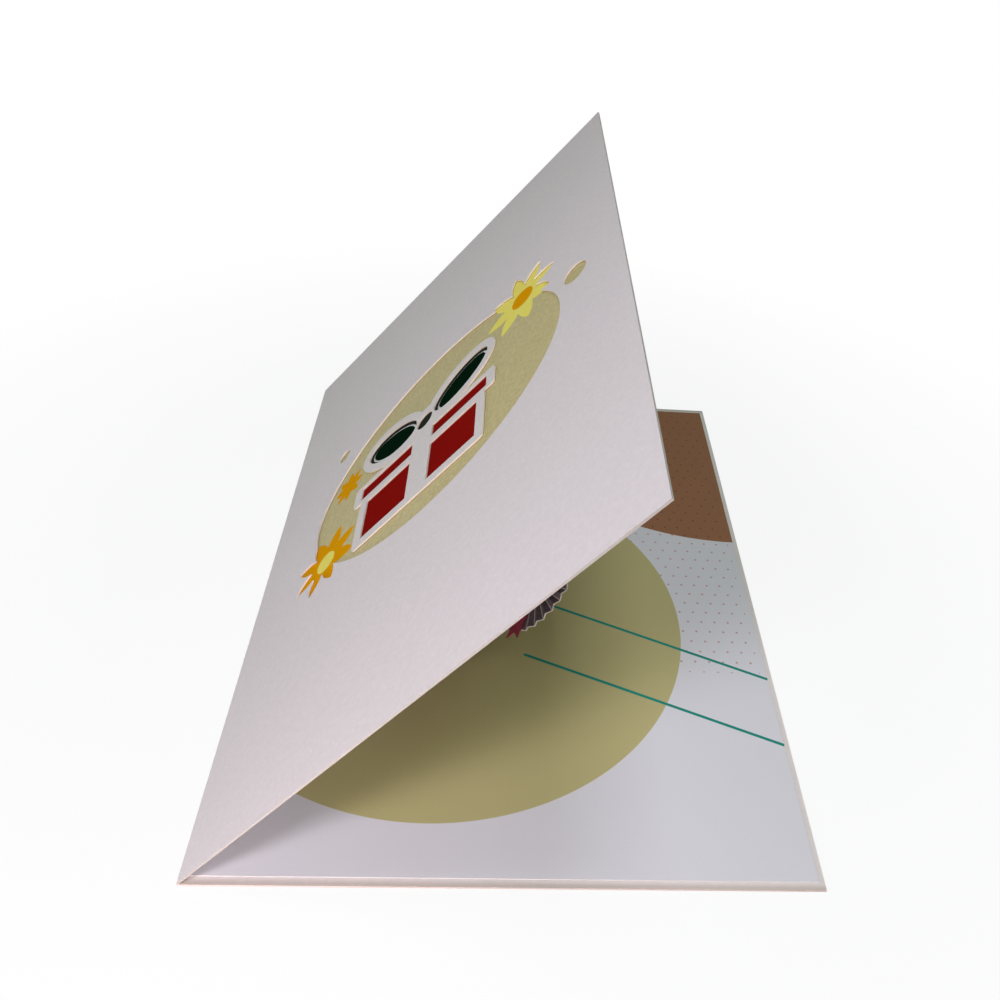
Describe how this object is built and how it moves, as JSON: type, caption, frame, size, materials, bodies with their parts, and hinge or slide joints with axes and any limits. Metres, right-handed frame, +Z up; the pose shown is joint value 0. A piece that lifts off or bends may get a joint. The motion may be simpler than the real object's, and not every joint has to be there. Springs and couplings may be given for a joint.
{
  "type": "greeting card",
  "caption": "Half-open folded greeting card in pearl card, with an inlaid window in its cover, a printed liner and a pop-up box that rises between the panels.",
  "frame": {"origin": "middle of the back panel's underside, on the surface that the card stands on", "axes": "+X from the fold to the free edges, +Y along the fold, away from the viewer, +Z up"},
  "size_m": [0.127, 0.178, 0.0978],
  "materials": {
    "pearl_card": "pearlescent",
    "printed_liner": "matt, printed",
    "olive_paper": "pearlescent",
    "red_paper": "gloss",
    "charcoal_paper": "satin",
    "green_paper": "gloss",
    "yellow_paper": "metallic",
    "orange_paper": "metallic",
    "burgundy_card": "matt",
    "taupe_paper": "satin",
    "cream_card": "pearlescent"
  },
  "bodies": {
    "root": {"outer_card": "pearl_card", "white_figure": "pearl_card", "inner_liner": "printed_liner", "olive_sheet": "olive_paper", "red_inlay": "red_paper", "charcoal_inlay": "charcoal_paper", "green_left_loop": "green_paper", "green_right_loop": "green_paper", "yellow_daisy": "yellow_paper", "yellow_daisy_eye": "orange_paper", "orange_daisy": "orange_paper", "orange_daisy_eye": "yellow_paper", "small_orange_daisy": "orange_paper", "popup_box": "burgundy_card", "popup_ribbon": "taupe_paper", "rosette_tails": "burgundy_card", "popup_rosette": "charcoal_paper", "rosette_button": "cream_card"}
  },
  "joints": []
}
